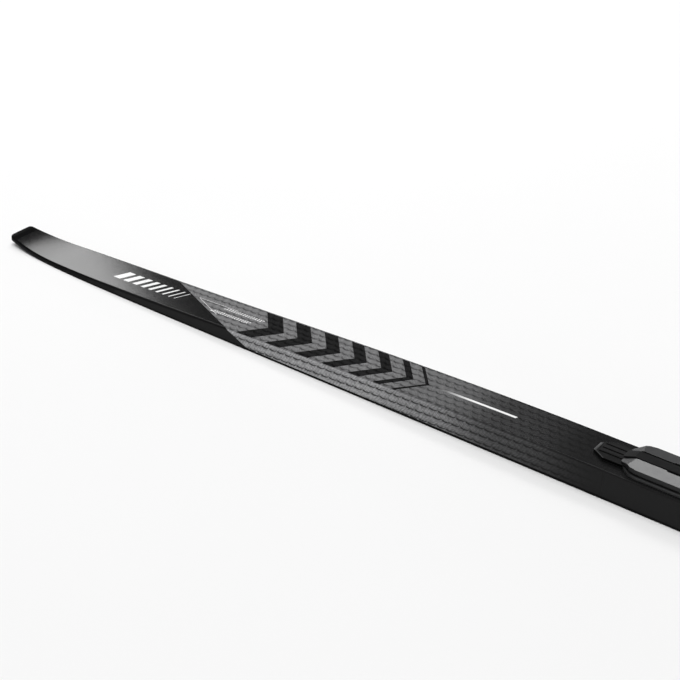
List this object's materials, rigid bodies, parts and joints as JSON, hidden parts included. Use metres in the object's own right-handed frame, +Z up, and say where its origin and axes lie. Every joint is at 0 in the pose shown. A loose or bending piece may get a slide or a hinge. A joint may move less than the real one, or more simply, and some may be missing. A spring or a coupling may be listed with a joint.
{
  "type": "cross country ski",
  "caption": "Narrow cambered cross country skate ski with layered build, rail-mounted toe and heel units, lever-opened toe jaw and sliding fit adjustment.",
  "frame": {"origin": "on the resting plane, under the middle of the ski's length and width", "axes": "+X to the tip along the ski, +Y to the skier's left, +Z up out of the deck"},
  "size_m": [1.31, 0.0442, 0.0388],
  "materials": {
    "base": "ground polyethylene running surface, waxed, fine lengthwise structure",
    "edge": "black ABS edge strip, fine milled satin",
    "laminate": "glass and carbon laminate in resin",
    "insert": "dense moulded insert",
    "core": "light foam and wood core",
    "topsheet": "semi-gloss black cap, grey carbon-rope print behind the diagonal",
    "protector": "black moulded tail guard",
    "plate": "black glass-filled nylon rail, ribbed top",
    "housing": "black glass-filled nylon, fine spark texture",
    "flank": "grey painted cover with satin top band",
    "lever": "dark grey nylon lever",
    "steel": "stainless, brushed",
    "spring_steel": "drawn spring wire",
    "rubber": "black rubber",
    "strap": "black nylon strap",
    "pawl": "light grey nylon press part",
    "screw": "zinc plated steel"
  },
  "bodies": {
    "ski": {"base_sole": "base", "edge_strip_left": "edge", "edge_strip_right": "edge", "lower_laminate": "laminate", "tip_insert": "insert", "tail_insert": "insert", "foam_core": "core", "mount_block": "insert", "upper_laminate": "laminate", "topsheet": "topsheet", "tail_protector": "protector", "plate_front": "plate", "plate_rear": "plate", "screw_front_1": "screw", "screw_front_2": "screw", "screw_rear_1": "screw", "screw_rear_2": "screw", "screw_rear_3": "screw", "screw_rear_4": "screw"},
    "toe_unit": {"toe_housing": "housing", "flank_left": "flank", "flank_right": "flank", "lever_pin": "steel", "jaw_pin": "steel", "bar_seat": "steel", "flexor": "rubber", "pawl_pin": "steel", "pawl_spring": "spring_steel", "connecting_strap": "strap", "strap_rivet": "steel"},
    "lever": {"lever": "lever"},
    "jaw": {"jaw": "steel"},
    "shift_pawl": {"shift_pawl": "pawl"},
    "heel_unit": {"heel_block": "housing", "heel_pad_left": "rubber", "heel_pad_right": "rubber", "button_spring": "spring_steel"},
    "heel_button": {"heel_button": "pawl"}
  },
  "joints": [
    {"name": "carriage_slide", "type": "slide", "parent": "ski", "child": "toe_unit", "axis": [1, 0, 0], "range_m": [-0.012, 0.012]},
    {"name": "lever_hinge", "type": "hinge", "parent": "toe_unit", "child": "lever", "pos_m": [-0.038, 0, 0.0316], "axis": [0, -1, 0], "range_deg": [0, 60]},
    {"name": "jaw_hinge", "type": "hinge", "parent": "toe_unit", "child": "jaw", "pos_m": [-0.05, 0, 0.0316], "axis": [0, 1, 0], "range_deg": [0, 40]},
    {"name": "pawl_hinge", "type": "hinge", "parent": "toe_unit", "child": "shift_pawl", "pos_m": [-0.088, 0, 0.029], "axis": [0, -1, 0], "range_deg": [0, 5], "stiffness_Nm_per_rad": 0.1, "springref_deg": -5.73, "deforming": ["pawl_spring"]},
    {"name": "heel_slide", "type": "slide", "parent": "toe_unit", "child": "heel_unit", "axis": [1, 0, 0], "range_m": [-0.01, 0.01]},
    {"name": "heel_button_press", "type": "slide", "parent": "heel_unit", "child": "heel_button", "axis": [0, 0, 1], "range_m": [-0.0012, 0], "stiffness_N_per_m": 300, "springref_m": 0.001, "deforming": ["button_spring"]}
  ],
  "couplings": [
    {"joint": "jaw_hinge", "follows": "lever_hinge", "ratio": 0.6}
  ]
}
